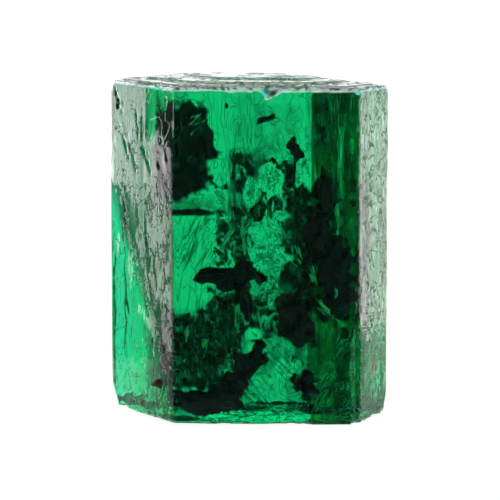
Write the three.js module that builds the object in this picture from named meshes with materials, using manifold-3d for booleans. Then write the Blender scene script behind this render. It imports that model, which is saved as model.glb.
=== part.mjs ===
// An emerald crystal: a stout six-sided beryl prism that stands on its broken base.
// It is one solid. Growth plates stand proud of its faces, etch furrows and ridges run up them,
// the top end is a flat basal face with low steps, and the rims and edges are chipped.
// Millimetres, +Z up the crystal, the wide clear face towards -Y, origin under the middle of the base.
import * as THREE from "three";
import { mergeVertices } from "three/addons/utils/BufferGeometryUtils.js";
import Module from "manifold-3d";

const wasm = await Module();
wasm.setup();

// Driving dimensions
const HEIGHT = 12.37; // base to the middle of the top face's rim
const TURN = 3; // degrees that the wide face looks to the right of straight ahead
const FRONT = 6.74; // widths of the prism's faces, going round to the right
const FRONT_RIGHT = 2.72;
const BACK_RIGHT = 5.5;
const FRONT_LEFT = 4.58;
const BACK_LEFT = FRONT_RIGHT + BACK_RIGHT - FRONT_LEFT; // every corner is 120 degrees, so these follow
const BACK = FRONT + FRONT_RIGHT - BACK_LEFT;
const CORNER_RADIUS = 0.14;
const RIM_BEVEL = 0.14; // of the top rim; the broken base has a sharp one
const TOP_SLOPE = new THREE.Vector2(-0.012, 0.006); // the top face's rise to the right and to the back
const PLATE_STEP = 0.06; // height of one growth step on the top face
const NOTCH_X = 0.24; // how far right of the middle the chip in the front rim lies
const BASE_REST = 0.0; // the plane that the crystal rests on
const BASE_SLOPE = 1.6; // degrees that the break rises under the left end of the wide face
const FINEST = 0.001; // slivers thinner than this are merged away where solids are joined or cut

const EMERALD = new THREE.MeshStandardMaterial({ color: 0x0b7a45, roughness: 0.15, metalness: 0 });

// A small repeatable random source, so that the same crystal grows each time.
function seeded(seed) {
  let state = seed;
  return () => {
    state = (state * 1664525 + 1013904223) % 4294967296;
    return state / 4294967296;
  };
}

// Turns a closed three.js geometry into a solid, and a solid into a geometry.
function solid(geometry) {
  const bare = geometry.clone();
  bare.deleteAttribute("normal");
  bare.deleteAttribute("uv");
  const merged = mergeVertices(bare, 1e-4);
  return new wasm.Manifold(
    new wasm.Mesh({
      numProp: 3,
      vertProperties: merged.attributes.position.array,
      triVerts: new Uint32Array(merged.index.array),
      tolerance: FINEST,
    }),
  );
}

function geometryOf(body) {
  const mesh = body.getMesh();
  const geometry = new THREE.BufferGeometry();
  geometry.setAttribute("position", new THREE.BufferAttribute(mesh.vertProperties, 3));
  geometry.setIndex(new THREE.BufferAttribute(mesh.triVerts, 1));
  const faceted = geometry.toNonIndexed();
  faceted.computeVertexNormals();
  return faceted;
}

const joined = (pieces) => pieces.reduce((sum, piece) => sum.add(piece));

// The six corners of the outline. Each side turns 60 degrees from the last.
function outline() {
  const widths = [FRONT, FRONT_RIGHT, BACK_RIGHT, BACK, BACK_LEFT];
  const corners = [new THREE.Vector2(0, 0)];
  widths.forEach((width, i) => {
    const angle = THREE.MathUtils.degToRad(TURN + 60 * i);
    const step = new THREE.Vector2(Math.cos(angle), Math.sin(angle)).multiplyScalar(width);
    corners.push(corners[i].clone().add(step));
  });
  const box = new THREE.Box2().setFromPoints(corners);
  const middle = box.getCenter(new THREE.Vector2());
  return corners.map((corner) => corner.sub(middle));
}

const CORNERS = outline();
const SIDES = ["front", "frontRight", "backRight", "back", "backLeft", "frontLeft"];

function side(name) {
  const i = SIDES.indexOf(name);
  const start = CORNERS[i];
  const end = CORNERS[(i + 1) % 6];
  return { start, end, width: start.distanceTo(end), angle: end.clone().sub(start).angle() };
}

// The matrix of a frame on a side: X along it from its left end, Y up, Z out of the crystal.
function onSide(name, along, up, tilt = 0, out = 0) {
  const { start, angle } = side(name);
  return new THREE.Matrix4()
    .makeTranslation(start.x, start.y, 0)
    .multiply(new THREE.Matrix4().makeRotationZ(angle))
    .multiply(new THREE.Matrix4().makeRotationX(Math.PI / 2))
    .multiply(new THREE.Matrix4().makeTranslation(along, up, out))
    .multiply(new THREE.Matrix4().makeRotationZ(tilt));
}

// The height of the sloping top plane at a point.
const topPlane = (point) => HEIGHT + TOP_SLOPE.dot(point);

// Lifts the upper half of a shape made for a level top, so that it follows the slope.
function sloped(geometry) {
  const position = geometry.attributes.position;
  for (let i = 0; i < position.count; i += 1) {
    const point = new THREE.Vector2(position.getX(i), position.getY(i));
    if (position.getZ(i) > HEIGHT / 2) position.setZ(i, position.getZ(i) + topPlane(point) - HEIGHT);
  }
  return geometry;
}

// A hexagonal outline with rounded corners, drawn through the given corners.
function roundedShape(corners, radius) {
  const shape = new THREE.Shape();
  corners.forEach((corner, i) => {
    const before = corners[(i + corners.length - 1) % corners.length];
    const after = corners[(i + 1) % corners.length];
    const from = corner.clone().add(before.clone().sub(corner).setLength(radius));
    const to = corner.clone().add(after.clone().sub(corner).setLength(radius));
    if (i === 0) shape.moveTo(from.x, from.y);
    else shape.lineTo(from.x, from.y);
    shape.quadraticCurveTo(corner.x, corner.y, to.x, to.y);
  });
  shape.closePath();
  return shape;
}

// The bare prism with bevelled rims. It runs on below the base, which is broken off sharply later.
function prism() {
  const stub = 0.5;
  const geometry = new THREE.ExtrudeGeometry(roundedShape(CORNERS, CORNER_RADIUS), {
    depth: HEIGHT + stub - 2 * RIM_BEVEL,
    bevelThickness: RIM_BEVEL,
    bevelSize: RIM_BEVEL,
    bevelOffset: -RIM_BEVEL,
    bevelSegments: 2,
    curveSegments: 3,
  });
  return solid(sloped(geometry.translate(0, 0, BASE_REST - stub + RIM_BEVEL)));
}

// A thin growth plate on a side: a tall strip whose two ends are broken into slanted steps.
function plate({ on, along, up, width, height, proud, slant }) {
  const sunk = 0.2;
  const random = seeded(Math.round(1000 * along + 77 * up + 13 * height));
  const end = (level, reach) => {
    const shares = [0, 0.12 + 0.2 * random(), 0.45 + 0.2 * random(), 0.8 + 0.1 * random(), 1];
    return shares.map((share) => new THREE.Vector2(share * width, level + reach * random()));
  };
  const shape = new THREE.Shape([...end(0, slant), ...end(height, -slant).reverse()]);
  const geometry = new THREE.ExtrudeGeometry(shape, {
    depth: sunk,
    bevelThickness: proud,
    bevelSize: proud * 0.8,
    bevelOffset: -proud * 0.8,
    bevelSegments: 1,
  });
  return solid(geometry.translate(0, 0, -sunk).applyMatrix4(onSide(on, along, up)));
}

// A long thin lens with sharp ends: cut out it leaves a furrow, added it is a ridge.
function spindle(matrix, width, length, depth) {
  const geometry = new THREE.OctahedronGeometry(1, 0).scale(width / 2, length / 2, depth);
  return solid(geometry.applyMatrix4(matrix));
}

// Spindles scattered over part of a side, each with its own size and lean. Spread is how much the leans vary.
// They stand a little out of the side, so that a furrow also opens in a plate that lies over it.
function scatter({ on, count, seed, width, length, depth, lean, ...options }) {
  const { low, high, margin, spread, out } = { low: 0, high: 1, margin: 0, spread: 0.5, out: 0, ...options };
  const random = seeded(seed);
  const span = side(on).width - 2 * margin;
  return Array.from({ length: count }, () => {
    const along = margin + span * random();
    const up = HEIGHT * (low + (high - low) * random());
    const tilt = lean + (random() - 0.5) * spread;
    const size = 0.45 + random();
    const matrix = onSide(on, along, up, tilt, out);
    const reach = out + depth * (0.6 + 0.8 * random());
    return spindle(matrix, width * size, length * size * (0.6 + random()), reach);
  });
}

// Growth plates on the prism faces. The wide front face has only faint ones.
const PLATES = [
  { on: "front", along: 0.35, up: 0.7, width: 1.5, height: 10.2, proud: 0.02, slant: 0.5 },
  { on: "front", along: 2.3, up: 3.1, width: 2.0, height: 8.2, proud: 0.02, slant: 0.7 },
  { on: "front", along: 5.0, up: 0.5, width: 1.3, height: 6.0, proud: 0.02, slant: 0.4 },
  { on: "frontRight", along: 0.5, up: 0.9, width: 1.3, height: 5.2, proud: 0.025, slant: 1.3 },
  { on: "frontRight", along: 1.1, up: 7.0, width: 1.1, height: 4.3, proud: 0.025, slant: 1.2 },
  { on: "backRight", along: 0.4, up: 0.5, width: 1.6, height: 9.4, proud: 0.06, slant: 0.9 },
  { on: "backRight", along: 2.4, up: 2.6, width: 1.1, height: 8.3, proud: 0.08, slant: 0.5 },
  { on: "backRight", along: 4.0, up: 0.8, width: 1.2, height: 7.4, proud: 0.06, slant: 0.7 },
  { on: "back", along: 0.5, up: 0.6, width: 1.3, height: 10.3, proud: 0.07, slant: 0.7 },
  { on: "back", along: 2.2, up: 1.7, width: 0.9, height: 6.5, proud: 0.06, slant: 0.4 },
  { on: "back", along: 3.5, up: 0.9, width: 1.4, height: 10.0, proud: 0.07, slant: 0.9 },
  { on: "backLeft", along: 0.4, up: 1.0, width: 1.2, height: 9.6, proud: 0.07, slant: 0.6 },
  { on: "backLeft", along: 2.0, up: 0.6, width: 1.5, height: 8.4, proud: 0.06, slant: 0.9 },
  { on: "frontLeft", along: 0.3, up: 5.4, width: 2.1, height: 5.9, proud: 0.025, slant: 1.6 },
  { on: "frontLeft", along: 1.7, up: 0.6, width: 2.2, height: 3.6, proud: 0.025, slant: 1.4 },
  { on: "frontLeft", along: 2.6, up: 5.6, width: 1.6, height: 4.2, proud: 0.02, slant: 1.5 },
];

// Etch marks. The two narrow front faces and the back are rough, the wide face is almost clean.
const CRINKLED = { spread: 1.2, out: 0.08 };
const FURROWS = [
  { on: "front", count: 10, seed: 11, width: 0.2, length: 1.2, depth: 0.02, lean: 0.05, out: 0.025 },
  { on: "frontLeft", count: 44, seed: 21, width: 0.26, length: 1.2, depth: 0.06, lean: 0.2, ...CRINKLED },
  { on: "frontRight", count: 30, seed: 31, width: 0.24, length: 1.1, depth: 0.055, lean: 0.15, ...CRINKLED },
  { on: "backRight", count: 34, seed: 41, width: 0.3, length: 1.4, depth: 0.07, lean: 0.1, ...CRINKLED },
  { on: "back", count: 32, seed: 51, width: 0.3, length: 1.4, depth: 0.07, lean: -0.05, ...CRINKLED },
  { on: "backLeft", count: 28, seed: 61, width: 0.3, length: 1.3, depth: 0.07, lean: 0.08, ...CRINKLED },
];
// Ridges keep clear of the ends and the upright edges.
const WITHIN = { low: 0.1, high: 0.88, margin: 0.3 };
const RIDGES = [
  { on: "frontLeft", count: 18, seed: 22, width: 0.2, length: 1.3, depth: 0.05, lean: 0.1, ...WITHIN },
  { on: "frontRight", count: 16, seed: 32, width: 0.2, length: 1.2, depth: 0.05, lean: -0.1, ...WITHIN },
  { on: "backRight", count: 16, seed: 42, width: 0.24, length: 1.4, depth: 0.06, lean: 0.05, ...WITHIN },
  { on: "back", count: 16, seed: 52, width: 0.22, length: 1.4, depth: 0.06, lean: 0.1, ...WITHIN },
  { on: "backLeft", count: 18, seed: 62, width: 0.22, length: 1.3, depth: 0.06, lean: -0.1, ...WITHIN },
];

const TOP_RIDGES = { count: 14, seed: 72, width: 0.4, length: 1.6, depth: 0.05, out: 0 };
const TOP_FURROWS = { count: 26, seed: 71, width: 0.7, length: 2.4, depth: 0.06, out: 0.1 };

// Low plates on the top face, each smaller than the one under it and set further back.
const TOP_STEPS = [
  { scale: 0.92, x: -0.05, y: 0.15 },
  { scale: 0.74, x: -0.1, y: 0.6 },
  { scale: 0.5, x: 0.2, y: 1.35 },
].map(({ scale, x, y }) =>
  CORNERS.map((corner) => corner.clone().multiplyScalar(scale).add(new THREE.Vector2(x, y))),
);

function topSteps() {
  const sunk = 0.3;
  return TOP_STEPS.map((corners, i) => {
    const geometry = new THREE.ExtrudeGeometry(roundedShape(corners, 0.3), {
      depth: sunk + i * PLATE_STEP,
      bevelThickness: PLATE_STEP,
      bevelSize: PLATE_STEP * 1.5,
      bevelOffset: -PLATE_STEP * 1.5,
      bevelSegments: 1,
      curveSegments: 2,
    });
    return solid(sloped(geometry.translate(0, 0, HEIGHT - sunk)));
  });
}

function isInside(corners, point) {
  return corners.every((corner, i) => {
    const along = corners[(i + 1) % corners.length].clone().sub(corner);
    return along.cross(point.clone().sub(corner)) > 0;
  });
}

// The height of the top face at a point: one step up for each plate that the point lies on.
function topHeight(point) {
  return topPlane(point) + PLATE_STEP * TOP_STEPS.filter((corners) => isInside(corners, point)).length;
}

// Short spindles that lie on the top face in all directions, clear of its rim.
// Those to be cut out stand higher, so that they also open in whatever lies over them.
function topMarks({ count, seed, width, length, depth, out }) {
  const random = seeded(seed);
  const field = CORNERS.map((corner) => corner.clone().multiplyScalar(0.82));
  const marks = Array.from({ length: count }, () => ({
    at: new THREE.Vector2((random() - 0.5) * 8.6, (random() - 0.5) * 6.4),
    turn: random() * Math.PI,
    size: 0.4 + 0.8 * random(),
    reach: out + depth * (0.6 + random()),
  }));
  return marks
    .filter(({ at }) => isInside(field, at))
    .map(({ at, turn, size, reach }) => {
      const matrix = new THREE.Matrix4()
        .makeTranslation(at.x, at.y, topHeight(at) + out)
        .multiply(new THREE.Matrix4().makeRotationZ(turn));
      return spindle(matrix, width * size, length * size, reach);
    });
}

// Chips along a rim: small flattened lumps cut from the edge of the top or of the base.
function rimChips({ height, count, seed, size, reach }) {
  const random = seeded(seed);
  return Array.from({ length: count }, (_, i) => {
    const { start, end } = side(SIDES[i % 6]);
    const at = start.clone().lerp(end, random());
    const scale = size * (0.5 + random());
    const geometry = new THREE.IcosahedronGeometry(1, 0)
      .rotateZ(random() * Math.PI)
      .scale(scale, scale * 0.8, reach * (0.6 + 0.8 * random()));
    return solid(geometry.translate(at.x, at.y, height === HEIGHT ? topPlane(at) : height));
  });
}

// Long slivers knocked off an upright edge, given by the edge's corner.
function edgeChips(corner, chips) {
  return chips.map(({ up, length, bite }) => {
    const matrix = new THREE.Matrix4()
      .makeTranslation(CORNERS[corner].x, CORNERS[corner].y, up)
      .multiply(new THREE.Matrix4().makeRotationX(Math.PI / 2));
    return spindle(matrix, bite * 2, length, bite);
  });
}

// The triangular chip in the front rim, with its deepest point left of its middle.
function notch() {
  const leftward = new THREE.Matrix4().makeShear(0, 0, 0, 0, 0.6, 0);
  const geometry = new THREE.OctahedronGeometry(1, 0).scale(0.5, 0.42, 0.46).applyMatrix4(leftward);
  const { start, end, angle } = side("front");
  const middle = start.clone().lerp(end, 0.5 + NOTCH_X / FRONT);
  return solid(geometry.rotateZ(angle).translate(middle.x, middle.y, topPlane(middle)));
}

// Hollows of the break under the base. They leave the flat ground that it rests on.
function baseScoops() {
  const scoops = [
    { x: -3.9, y: -0.4, wide: 1.5, deep: 0.22 },
    { x: -2.6, y: -2.1, wide: 1.1, deep: 0.25 },
    { x: -1.9, y: 2.7, wide: 1.6, deep: 0.2 },
    { x: -0.2, y: 2.3, wide: 1.0, deep: 0.12 },
    { x: 3.1, y: 1.7, wide: 1.5, deep: 0.22 },
    { x: 1.2, y: -3.2, wide: 1.3, deep: 0.05 },
    { x: 4.3, y: -1.6, wide: 1.0, deep: 0.1 },
  ];
  return scoops.map(({ x, y, wide, deep }, i) =>
    solid(
      new THREE.IcosahedronGeometry(1, 1)
        .rotateX(0.7 * i)
        .rotateZ(1.3 * i)
        .scale(wide, wide * 0.7, deep)
        .rotateZ(0.9 * i)
        .translate(x, y, BASE_REST),
    ),
  );
}

// The break slopes up under the left end of the wide face. The slope starts at the line through two points.
function baseSlope() {
  const from = new THREE.Vector2(2.5, -3.6);
  const to = new THREE.Vector2(-3.5, 2.5);
  const box = new THREE.BoxGeometry(20, 12, 2).translate(0, 6, -1);
  const heading = from.clone().sub(to).angle() + Math.PI;
  const slope = box.rotateX(THREE.MathUtils.degToRad(BASE_SLOPE)).rotateZ(heading);
  return solid(slope.translate(from.x, from.y, BASE_REST));
}

function crystal() {
  const plates = joined(PLATES.map(plate));
  const steps = joined(topSteps());
  const ridges = joined([...RIDGES.flatMap(scatter), ...topMarks(TOP_RIDGES)]);
  const furrows = joined([...FURROWS.flatMap(scatter), ...topMarks(TOP_FURROWS)]);
  const chips = joined([
    ...rimChips({ height: HEIGHT, count: 30, seed: 81, size: 0.2, reach: 0.1 }),
    ...rimChips({ height: BASE_REST, count: 36, seed: 82, size: 0.24, reach: 0.1 }),
    ...edgeChips(0, [
      { up: 5.9, length: 0.5, bite: 0.07 },
      { up: 1.1, length: 0.6, bite: 0.09 },
    ]),
    ...edgeChips(1, [
      { up: HEIGHT, length: 0.9, bite: 0.26 },
      { up: 10.2, length: 1.4, bite: 0.1 },
      { up: 7.4, length: 2.2, bite: 0.12 },
      { up: 2.0, length: 7.4, bite: 0.3 },
      { up: 4.9, length: 1.2, bite: 0.22 },
      { up: 2.9, length: 1.6, bite: 0.3 },
      { up: 0.4, length: 1.6, bite: 0.24 },
    ]),
    ...edgeChips(2, [
      { up: HEIGHT, length: 0.7, bite: 0.3 },
      { up: 8.2, length: 0.9, bite: 0.12 },
      { up: 0.1, length: 1.6, bite: 0.38 },
    ]),
    ...edgeChips(3, [{ up: 6.6, length: 1.8, bite: 0.16 }]),
    ...edgeChips(4, [{ up: 3.4, length: 1.5, bite: 0.15 }]),
    ...edgeChips(5, [
      { up: HEIGHT, length: 0.8, bite: 0.34 },
      { up: 9.3, length: 0.8, bite: 0.08 },
      { up: 0.2, length: 1.6, bite: 0.6 },
    ]),
  ]);
  const hollows = joined([notch(), baseSlope(), ...baseScoops()]);
  const grown = prism().add(plates).add(steps).add(ridges);
  return grown.subtract(furrows).subtract(chips).subtract(hollows);
}

function trimmedToBase(body) {
  const under = solid(new THREE.BoxGeometry(40, 40, 4).translate(0, 0, BASE_REST - 2));
  return body.subtract(under);
}

const emerald = new THREE.Mesh(geometryOf(trimmedToBase(crystal())), EMERALD);
emerald.name = "emerald_crystal";

const part = new THREE.Group();
part.add(emerald);

export default part;
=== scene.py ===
"""An emerald crystal on a bright table: a clear six-sided prism, etched, with a dark garden of inclusions.

Lengths are millimetres until MM turns them into Blender's metres. X runs to the right along the wide
clear face, Y to the back and Z up, with the origin under the middle of the base.
"""

import math

import bmesh
import bpy
import numpy as np
from mathutils import Matrix, Vector

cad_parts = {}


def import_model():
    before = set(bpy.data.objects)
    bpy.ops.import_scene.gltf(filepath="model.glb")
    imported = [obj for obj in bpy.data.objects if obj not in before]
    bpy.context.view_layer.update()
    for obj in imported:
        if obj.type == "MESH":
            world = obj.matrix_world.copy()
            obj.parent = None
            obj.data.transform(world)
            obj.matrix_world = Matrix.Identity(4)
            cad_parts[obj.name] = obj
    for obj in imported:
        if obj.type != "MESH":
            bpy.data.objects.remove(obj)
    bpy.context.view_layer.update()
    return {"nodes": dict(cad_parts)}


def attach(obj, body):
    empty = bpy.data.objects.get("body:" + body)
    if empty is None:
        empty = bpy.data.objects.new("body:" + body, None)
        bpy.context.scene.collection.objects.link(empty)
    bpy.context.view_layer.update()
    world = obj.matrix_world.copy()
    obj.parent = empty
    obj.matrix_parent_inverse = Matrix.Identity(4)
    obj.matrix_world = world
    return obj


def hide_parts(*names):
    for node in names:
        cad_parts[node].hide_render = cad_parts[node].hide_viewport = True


MM = 0.001

# Driving dimensions of the prism
NODE = "emerald_crystal"
HEIGHT = 12.37
TURN = math.radians(3)  # how far the wide face looks to the right
FACES = ("front", "front_right", "back_right", "back", "back_left", "front_left")
WIDTHS = (6.74, 2.72, 5.5, 5.82, 3.64, 4.58)  # of the faces, in the same order

# Optics of beryl
IOR = 1.577
ABSORPTION_PER_MM = 0.75  # of red light; the colour says how much less green and blue lose
ABSORPTION_COLOUR = (0.0, 0.86, 0.65)

# The photograph's camera
IMAGE = 500
FOCAL_PIXELS = 2400
SENSOR = 36.0
CAMERA_DISTANCE = 87.0
CAMERA_ELEVATION = math.radians(7.1)
AIM = (0.057, -3.51, 6.468)


# The prism's faces


def corners():
    """The prism's six corners, as seen from above, going round from the left end of the wide face."""
    points = [np.zeros(2)]
    for i, width in enumerate(WIDTHS[:5]):
        angle = TURN + math.radians(60 * i)
        points.append(points[-1] + width * np.array([math.cos(angle), math.sin(angle)]))
    points = np.array(points)
    return points - (points.min(axis=0) + points.max(axis=0)) / 2


def face_frame(name):
    """A side's left end as seen from outside, its direction to the right and its outward direction."""
    i = FACES.index(name)
    start, end = corners()[i], corners()[(i + 1) % 6]
    along = (end - start) / np.linalg.norm(end - start)
    return start, along, np.array([along[1], -along[0]])


def across_face(points, name):
    """How far each point lies to the right of a side's left end."""
    start, along, _ = face_frame(name)
    return (points[:, :2] - start) @ along


def facing(normals, name):
    """How squarely each outward direction belongs to a side, from 0 to 1."""
    loose, square = 0.86, 0.97
    out = face_frame(name)[2]
    return rising(normals[:, :2] @ out, loose, square)


# Noise

# Large numbers that scramble a cell's place and a seed
SCRAMBLE_X = 374761393
SCRAMBLE_Y = 668265263
SCRAMBLE_Z = 2147483647
SCRAMBLE_SEED = 974634777
SCRAMBLE_ALL = 1274126177
LOW_BITS = 0xFFFFFF


def rising(value, low, high):
    """Goes smoothly from 0 at low to 1 at high."""
    share = np.clip((value - low) / (high - low), 0, 1)
    return share * share * (3 - 2 * share)


def lattice(cells, seed):
    """A repeatable random number from 0 to 1 for each whole-number cell."""
    mixed = cells[..., 0] * SCRAMBLE_X + cells[..., 1] * SCRAMBLE_Y + cells[..., 2] * SCRAMBLE_Z
    mixed = mixed + seed * SCRAMBLE_SEED
    mixed = (mixed ^ (mixed >> 13)) * SCRAMBLE_ALL
    return ((mixed ^ (mixed >> 16)) & LOW_BITS) / LOW_BITS


def noise(points, seed):
    """Smooth value noise from -1 to 1."""
    cells = np.floor(points).astype(np.int64)
    part = points - cells
    part = part * part * (3 - 2 * part)
    total = 0
    for corner in range(8):
        step = np.array([corner & 1, corner >> 1 & 1, corner >> 2 & 1])
        weight = np.prod(np.where(step == 1, part, 1 - part), axis=-1)
        total = total + weight * lattice(cells + step, seed)
    return 2 * total - 1


def fractal(points, seed, octaves=4):
    """Noise with finer and fainter noise on top of it."""
    return sum(noise(points * 2**k, seed + k) / 2**k for k in range(octaves))


def ridged(points, stretch, seed, octaves):
    """Thin wandering lines at 1, falling to 0 between them."""
    bend, bend_scale = 0.3, 1.1
    warp = np.stack([noise(points * bend_scale, seed + 50 + k) for k in range(3)], axis=-1) * bend
    return np.clip(1 - np.abs(fractal((points + warp) * stretch, seed, octaves)), 0, 1)


# Meshes


def new_object(name, vertices, faces, material):
    """A smooth mesh object from points in millimetres."""
    mesh = bpy.data.meshes.new(name)
    mesh.from_pydata((np.asarray(vertices) * MM).tolist(), [], [tuple(map(int, face)) for face in faces])
    mesh.validate()
    mesh.update()
    mesh.shade_smooth()
    mesh.materials.append(material)
    thing = bpy.data.objects.new(name, mesh)
    bpy.context.collection.objects.link(thing)
    return thing


def store(thing, name, values):
    """Keeps one number for each vertex, which the material reads by name."""
    layer = thing.data.attributes.new(name, "FLOAT", "POINT")
    layer.data.foreach_set("value", np.asarray(values, dtype=np.float32))


def fused(vertices, faces, voxel):
    """One closed skin of even little squares round overlapping shapes, with its outward directions."""
    mesh = bpy.data.meshes.new("shapes")
    mesh.from_pydata(vertices.tolist(), [], faces.tolist())
    thing = bpy.data.objects.new("shapes", mesh)
    bpy.context.collection.objects.link(thing)
    skin = thing.modifiers.new("skin", "REMESH")
    skin.mode = "VOXEL"
    skin.voxel_size = voxel
    made = thing.evaluated_get(bpy.context.evaluated_depsgraph_get()).to_mesh()
    points = np.array([vertex.co for vertex in made.vertices])
    normals = np.array([vertex.normal for vertex in made.vertices])
    sides = np.array([face.vertices for face in made.polygons])
    bpy.data.objects.remove(thing)
    bpy.data.meshes.remove(mesh)
    return points, normals, sides


def smoothed(points, faces, rounds):
    """The skin with its sharpest furrows softened, each point drawn towards its neighbours."""
    ends = np.concatenate([faces[:, [i, (i + 1) % faces.shape[1]]] for i in range(faces.shape[1])])
    ends = np.concatenate([ends, ends[:, ::-1]])
    count = np.bincount(ends[:, 0], minlength=len(points))[:, None]
    for _ in range(rounds):
        drawn = points[ends[:, 1]]
        total = np.column_stack([np.bincount(ends[:, 0], drawn[:, k], len(points)) for k in range(3)])
        points = 0.5 * points + 0.5 * total / count
    return points


# The clear body

BODY_VOXEL = 0.078
SMOOTHING_ROUNDS = 5
WAVE_HEIGHT = 0.012  # slow waves of all the faces
CRINKLE_DEPTH = 0.018
CRINKLE_SHARPNESS = 16
CHANNEL_DEPTH = 0.05
CHANNEL_WIDTH = 0.05
UPRIGHT = (1.0, 1.0, 0.7)  # furrows are longer up the crystal than across it

# Where a change of the left face begins and where it is complete, along the face or up it
DENSE_ALONG = (1.5, 3.2)  # crinkles crowd towards the near edge
DENSE_TOP = 9.0
SPARSE_UP = (6.0, 8.5)  # a middling number of crinkles in the upper part
SMOOTH_ALONG, SMOOTH_UP = (2.6, 3.2), (9.8, 10.6)  # hardly any in the top near corner
LEANING_FROM, LEANING_UP, LEANING = 2.7, (10.2, 11.0), 0.06  # which also leans away
BRIGHT_ALONG, BRIGHT_UP = (2.6, 3.4), (10.0, 10.8)  # and is kept free of the painted shade
DIM_HEIGHT, DIM_SLOPE, DIM_BLUR = 8.6, 1.65, 0.8  # the slanting lower end of the painted grey shade

# Painted shade on the right face, growing upwards from 1 to 6 mm high
RIGHT_DIM, RIGHT_DIM_UP = 0.6, (1.0, 6.0)
RIM_HEIGHT = 0.8  # how far down from the top the worn rim is looked for
RIM_SLANT = (0.1, 0.35)
BACK_CRINKLING = 0.2
LEAST_CRINKLING = 0.12

# Deep flowing channels on the left face, as (along the face, height) points from its back edge
CHANNELS = (
    ((0.5, 12.1), (0.75, 11.5), (1.35, 10.9), (1.5, 10.2), (1.9, 9.5), (2.15, 8.9), (2.05, 8.3)),
    ((0.45, 10.6), (0.9, 10.7), (1.2, 10.2), (1.5, 9.6)),
    ((2.0, 11.3), (2.25, 10.4), (2.75, 9.7), (3.1, 9.1)),
    ((1.3, 7.4), (1.5, 6.7), (1.75, 6.0), (1.9, 5.4)),
    ((1.9, 6.3), (2.3, 5.2), (2.6, 4.6), (3.3, 3.8), (3.7, 2.9), (3.9, 2.2)),
    ((0.6, 11.5), (1.0, 11.3), (1.15, 11.6)),
    ((2.95, 8.36), (3.2, 8.4), (3.5, 8.38)),
    ((4.1, 1.5), (4.0, 1.25), (3.85, 1.4)),
)
RUST_SPOT = (1.3, 1.95, 0.16, 0.3)  # along the front right face, height, half width and half height
NOTCH_SHADOW = (0.8, -3.5, 12.3, 0.24)  # x, y, z and radius of the dark facet in the rim's notch


def channel_distance(points):
    """How far each point lies from the nearest channel of the left face, across and up it."""
    waver, waver_scale = 0.07, 4
    place = np.column_stack([across_face(points, "front_left"), points[:, 2]])
    place += waver * np.column_stack([noise(points * waver_scale, seed) for seed in (301, 302)])
    near = np.full(len(points), np.inf)
    for line in CHANNELS:
        for a, b in zip(np.array(line), np.array(line[1:])):
            way = b - a
            share = np.clip(((place - a) @ way) / (way @ way), 0, 1)
            near = np.minimum(near, np.linalg.norm(place - a - share[:, None] * way, axis=1))
    return near


def crinkling(points, normals):
    """How crowded with fine crinkles the skin is: least in the lower part of the left face."""
    across = across_face(points, "front_left")
    up = points[:, 2]
    wander = 0.5 * fractal(points * 0.6, seed=41)
    near = rising(across + wander, *DENSE_ALONG) * rising(DENSE_TOP - up + wander, 0, 1.0)
    smooth_corner = rising(across, *SMOOTH_ALONG) * rising(up, *SMOOTH_UP)
    upper = 0.45 * rising(up + wander, *SPARSE_UP) * (1 - smooth_corner)
    beside = np.exp(-((channel_distance(points) / 0.3) ** 2))
    left, right = facing(normals, "front_left"), facing(normals, "front_right")
    crowded = np.max([near, upper, beside, np.full(len(points), LEAST_CRINKLING)], axis=0)
    return left * crowded + right + (1 - left - right) * BACK_CRINKLING


def etching(points, normals):
    """How deep the skin is etched, how much shade is painted in its furrows and in the rim's notch, and
    where it belongs to a side or is level.
    """
    level = rising(np.abs(normals[:, 2]), 0.4, 0.9)
    side = (1 - level) * (1 - facing(normals, "front"))
    left = facing(normals, "front_left")
    upright = np.array(UPRIGHT)
    waves = WAVE_HEIGHT * fractal(points * upright * 0.5, seed=5, octaves=2)
    ridges = ridged(points, upright * 1.5, seed=17, octaves=3)
    crinkle = ridges**CRINKLE_SHARPNESS * crinkling(points, normals)
    broken = rising(fractal(points * 2.2, seed=311, octaves=2), -0.5, 0.2)
    flow = np.exp(-((channel_distance(points) / CHANNEL_WIDTH) ** 2)) * broken * left
    beyond = np.clip(across_face(points, "front_left") - LEANING_FROM, 0, 2)
    corner = LEANING * beyond * rising(points[:, 2] + 0.3 * noise(points, seed=321), *LEANING_UP) * left
    cut = CRINKLE_DEPTH * crinkle + CHANNEL_DEPTH * flow + corner
    x, y, z, radius = NOTCH_SHADOW
    away = np.linalg.norm(points - np.array([x, y, z]), axis=1) / radius
    # Painted shade: colour darkened in the furrows and channels and on the facet in the rim's notch.
    painted_recess_shade = np.maximum(np.clip(0.3 * crinkle + flow, 0, 1) * side, rising(1.3 - away, 0, 0.4))
    return side * cut + (0.3 + 0.7 * side) * waves, painted_recess_shade, side, level


def painted_face_shade(points, normals):
    """How much shade is painted on the sides, darkening what they let through: most in the upper part of the
    left face.
    """
    across = across_face(points, "front_left")
    up = points[:, 2]
    line = DIM_HEIGHT - DIM_SLOPE * across + 0.6 * fractal(points * 0.7, seed=71)
    clear = rising(across, *BRIGHT_ALONG) * rising(up, *BRIGHT_UP)
    left = facing(normals, "front_left") * rising(up - line, -DIM_BLUR, DIM_BLUR) * (1 - clear)
    right = facing(normals, "front_right") * rising(up, *RIGHT_DIM_UP)
    return np.clip(left + RIGHT_DIM * right, 0, 1)


def front_rim(points, normals):
    """The worn edge between the wide face and the top, from 0 to 1."""
    out = face_frame("front")[2]
    forward = rising(normals[:, :2] @ out, *RIM_SLANT)
    upward = rising(normals[:, 2], *RIM_SLANT)
    return forward * upward * (points[:, 2] > HEIGHT - RIM_HEIGHT)


def rusted(points, normals):
    """The rust spot on the front right face, from 0 to 1."""
    x, z, wide, high = RUST_SPOT
    place = np.column_stack([(across_face(points, "front_right") - x) / wide, (points[:, 2] - z) / high])
    ragged = np.linalg.norm(place, axis=1) + 0.4 * fractal(points * 4, seed=91)
    return rising(1.3 - ragged, 0, 0.5) * facing(normals, "front_right")


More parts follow.
